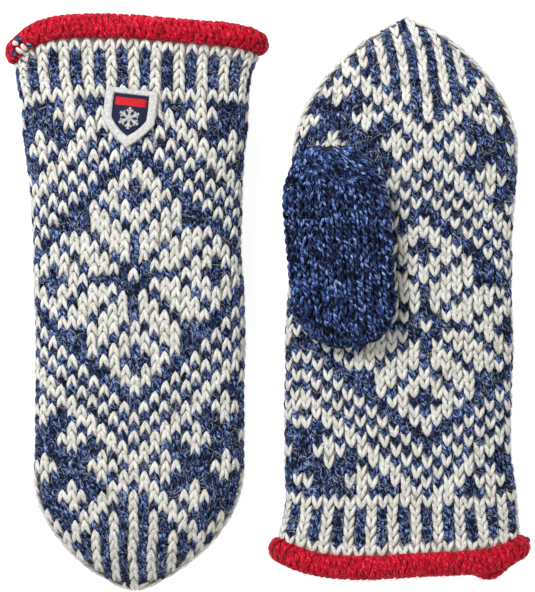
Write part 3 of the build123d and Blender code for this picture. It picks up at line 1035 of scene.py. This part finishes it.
def shield(inset, spacing=None, counts=None):
    """Points round a plain shield, its point downwards, and how many lie on each of its edges."""
    half = BADGE_WIDTH / 2 - inset
    tip = BADGE_HEIGHT - 1.4 * inset
    shoulder = 0.56 * BADGE_HEIGHT - 0.4 * inset
    top = 0.6 * inset
    bulge = (0.5 * half + 1.1, 0.5 * (shoulder + tip) + 1.1)
    edges = [((-half, top), (0, top), (half, top)),
             ((half, top), (half + 0.3, 0.5 * (top + shoulder)), (half, shoulder)),
             ((half, shoulder), bulge, (0, tip)),
             ((0, tip), (-bulge[0], bulge[1]), (-half, shoulder)),
             ((-half, shoulder), (-half - 0.3, 0.5 * (top + shoulder)), (-half, top))]
    if counts is None:
        counts = [max(3, int(np.hypot(e[2][0] - e[0][0], e[2][1] - e[0][1]) / spacing)) for e in edges]
    points = []
    for (start, pull, end), count in zip(edges, counts):
        t = np.arange(count)[:, None] / count
        points.append((1 - t) ** 2 * np.array(start) + 2 * t * (1 - t) * np.array(pull)
                      + t ** 2 * np.array(end))
    return np.concatenate(points), counts


def badge_thread(m, name, threads, lift, thread=SATIN_THREAD):
    """Threads on a badge: rows of (across, down) points, arched up to a lift over the knit."""
    threads = np.asarray(threads, float)
    t = np.linspace(-1, 1, threads.shape[1])
    rise = lift - 0.55 * np.abs(t) ** 3
    turn = np.radians(m.badge_turn)
    u, v = threads[..., 0], threads[..., 1]
    x = m.badge_shift + u * np.cos(turn) - v * np.sin(turn)
    y = BADGE_FROM_EDGE + u * np.sin(turn) + v * np.cos(turn)
    if m.palm_up:
        z, up = FLOOR + BADGE_BED - YARN_RISE - 0.1 - rise, -1.0
    else:
        z, up = hand_top(m, x, y) + YARN_RISE - 0.25 + rise, 1.0
    centres = m.world(x, y, z + 0 * x)
    return tubes(f"{m.side}_badge_{name}", centres, upright(centres, up), thread, thread, 6)


def bar(start, end, width):
    """Satin threads that lie across a bar."""
    start, end = np.array(start), np.array(end)
    length = np.hypot(*(end - start))
    side = np.array([-(end - start)[1], (end - start)[0]]) / length * width / 2
    along = np.linspace(0, 1, max(2, int(length / SATIN_PITCH)))[:, None, None]
    across = np.linspace(-1, 1, 5)[None, :, None]
    return start + (end - start) * along + side * across


def snowflake():
    """Threads of six arms with two branches each."""
    middle = (0, FLAKE_MIDDLE)
    bars = []
    for k in range(6):
        ray = np.array([np.sin(k * pi / 3), np.cos(k * pi / 3)])
        bars.append(bar(middle, FLAKE_ARM * ray + middle, 1.15))
        for turn in (-1, 1):
            branch = np.array([np.sin(k * pi / 3 + turn * 0.9), np.cos(k * pi / 3 + turn * 0.9)])
            root = 0.55 * FLAKE_ARM * ray + middle
            bars.append(bar(root, root + 0.36 * FLAKE_ARM * branch, 0.8))
    return np.concatenate(bars)


def make_badge(m):
    outer, counts = shield(0.0, spacing=SATIN_PITCH)
    inner, _ = shield(BADGE_BORDER, counts=counts)
    across = np.linspace(0, 1, 6)[None, :, None]
    satin = outer[:, None] * (1 - across) + inner[:, None] * across
    border = badge_thread(m, "edging", satin, 1.55, 0.31)
    dress(m, border, BADGE_WHITE, "badge_white", "badge_border")
    rows = np.arange(0.6 * BADGE_BORDER - 0.5, BADGE_HEIGHT - 1.4 * BADGE_BORDER + 0.5, SATIN_PITCH)
    right = inner[inner[:, 0] >= 0]
    order = np.argsort(right[:, 1], kind="stable")
    reach = np.interp(rows, right[order, 1], right[order, 0]) + 0.5
    reach[rows < inner[:, 1].min() + 0.1] = right[:, 0].max() + 0.5
    across = np.linspace(-1, 1, 12)[None, :]
    field = np.stack([reach[:, None] * across, rows[:, None] + 0 * across], axis=-1)
    red = (rows > STRIPE[0]) & (rows < STRIPE[1])
    navy = badge_thread(m, "ground", field[~red], FIELD_LIFT)
    dress(m, navy, BADGE_NAVY, "badge_navy", "badge_field")
    stripe_threads = field[red] * np.array([STRIPE_SHARE, 1.0])
    stripe = badge_thread(m, "stripe", stripe_threads, FIELD_LIFT + 0.2)
    dress(m, stripe, BADGE_RED, "red_wool")
    behind = badge_thread(m, "ground_behind", field[red], FIELD_LIFT - 0.2)
    dress(m, behind, BADGE_NAVY, "badge_navy")
    emblem = badge_thread(m, "snowflake", snowflake(), EMBLEM_LIFT, 0.24)
    dress(m, emblem, BADGE_WHITE, "badge_white", "badge_emblem")
    ring, _ = shield(0.45, counts=[c // 5 for c in counts])
    ahead = np.roll(ring, -1, 0)
    t = np.linspace(0.15, 0.85, 5)[None, :, None]
    stitches = ring[:, None] * (1 - t) + ahead[:, None] * t
    seam = badge_thread(m, "sewing", stitches, 1.75, 0.2)
    dress(m, seam, THREAD, "seam_thread", "badge_stitching")


# ---- the pair ----
def edge_origin(side, toward):
    """The middle of a mitten's rolled edge, from the frame."""
    low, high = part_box(f"{side}_cuff_roll")
    x = (low[0] + high[0]) / 2 / MM
    return (x, (low[1] if toward > 0 else high[1]) / MM)


LEFT = Mitten(
    side="left", origin=edge_origin("left", 1), toward=1, length=266.3, tip_start=205.0, tip_centre=4.8,
    left_side=(54.7, 53.0, 52.5, 52.2, 52.8, 53.0, 53.0, 52.4, 51.4, 50.6, 48.6, 48.2),
    right_side=(55.4, 54.9, 54.8, 54.2, 53.0, 52.6, 52.4, 53.1, 52.3, 52.4, 54.8, 54.6),
    edge_back=(8.5, 3.6, 1.6, 0.7, 0.7, 1.4, 2.2, 2.4, 2.9, 4.8, 10.0), edge_under=5.5, join_turn=0.27,
    height=27.0, row_from_edge=(-1.0, 12.9, 36.0, 65.7, 119.2, 159.5, 185.2, 208.8, 226.3, 267.1),
    row_bow=2.2, row_tilt=0.0, last_row=32,
    chart_line=(12.6, 12.8, 12.2, 11.6, 12.1, 13.2, 13.6, 12.7, 10.4),
    thumb_centre=-28.4, thumb_lean=-7.5, badge_shift=1.4, badge_turn=-6.5, palm_up=True, noise_seed=1.7)
RIGHT = Mitten(
    side="right", origin=edge_origin("right", -1), toward=-1, length=272.8, tip_start=214.0,
    tip_centre=-0.7,
    left_side=(56.2, 55.8, 54.6, 53.0, 51.9, 50.4, 48.8, 47.2, 46.0, 45.6, 46.6, 47.6),
    right_side=(57.0, 54.0, 53.1, 52.7, 52.0, 49.8, 48.7, 48.9, 49.8, 50.3, 50.3, 50.8),
    edge_back=(10.5, 2.0, -0.9, -1.3, -0.9, -0.5, 0.0, 1.4, 2.6, 3.0, 6.5), edge_under=0.0,
    join_turn=-0.206,
    height=31.0, row_from_edge=(0.9, 15.3, 37.6, 67.0, 123.5, 167.6, 194.8, 217.5, 236.5, 278.5),
    row_bow=0.0, row_tilt=-2.8, last_row=31,
    chart_line=(-0.4, 1.2, 0.2, 0.0, -0.2, -0.6, -0.2, -0.6, -0.7),
    thumb_centre=19.0, thumb_lean=0.0, badge_shift=-1.0, badge_turn=6.5, palm_up=False, noise_seed=4.1)

for mitten in (LEFT, RIGHT):
    hand = make_hand(mitten)
    make_lining(mitten, hand)
    rolled = make_roll(mitten, hand)
    make_join(mitten, rolled)
    make_tip_gather(mitten, hand)
    make_thumb(mitten)
    make_linking_yarn(mitten)
    make_badge(mitten)


# ---- floor, light and camera ----
FLOOR_HALF = 3.0
CAMERA_HEIGHT = 2.0
CAMERA_PLACE = (0.00015, 0.0020, CAMERA_HEIGHT)
FIELD_WIDTH = 0.2790       # what the picture's longer side takes in at FIELD_LEVEL
FIELD_LEVEL = 0.02
SENSOR_MM = 36.0


def make_floor():
    a = FLOOR_HALF
    mesh = bpy.data.meshes.new("floor")
    mesh.from_pydata([(-a, -a, 0), (a, -a, 0), (a, a, 0), (-a, a, 0)], [], [(0, 1, 2, 3)])
    mat, _, shader = new_material("floor", 0.9, 0.0)
    shader.inputs["Base Color"].default_value = (0.4, 0.4, 0.4, 1)
    shader.inputs["Emission Color"].default_value = (1, 1, 1, 1)
    shader.inputs["Emission Strength"].default_value = 0.82
    mesh.materials.append(mat)
    new_object("floor", mesh)


def area_light(name, place, size, power):
    """A square light that points at the middle of the floor."""
    data = bpy.data.lights.new(name, "AREA")
    data.size = size
    data.energy = power
    ob = new_object(name, data)
    ob.location = place
    ob.rotation_euler = (-Vector(place)).to_track_quat("-Z", "Y").to_euler()


def light_scene():
    world = bpy.data.worlds.new("studio")
    world.use_nodes = True
    background = world.node_tree.nodes["Background"]
    background.inputs["Color"].default_value = (1, 1, 1, 1)
    background.inputs["Strength"].default_value = 0.62
    bpy.context.scene.world = world
    bpy.context.scene.view_settings.view_transform = "Standard"
    area_light("key", (-0.6, 0.75, 1.0), 0.45, 17.0)
    area_light("fill", (0.9, -0.5, 1.2), 1.2, 3.0)


def make_camera():
    data = bpy.data.cameras.new("camera")
    data.sensor_width = SENSOR_MM
    data.lens = SENSOR_MM * (CAMERA_HEIGHT - FIELD_LEVEL) / FIELD_WIDTH
    data.clip_end = 10.0
    camera = new_object("camera", data)
    camera.location = CAMERA_PLACE
    bpy.context.scene.camera = camera


make_floor()
light_scene()
make_camera()
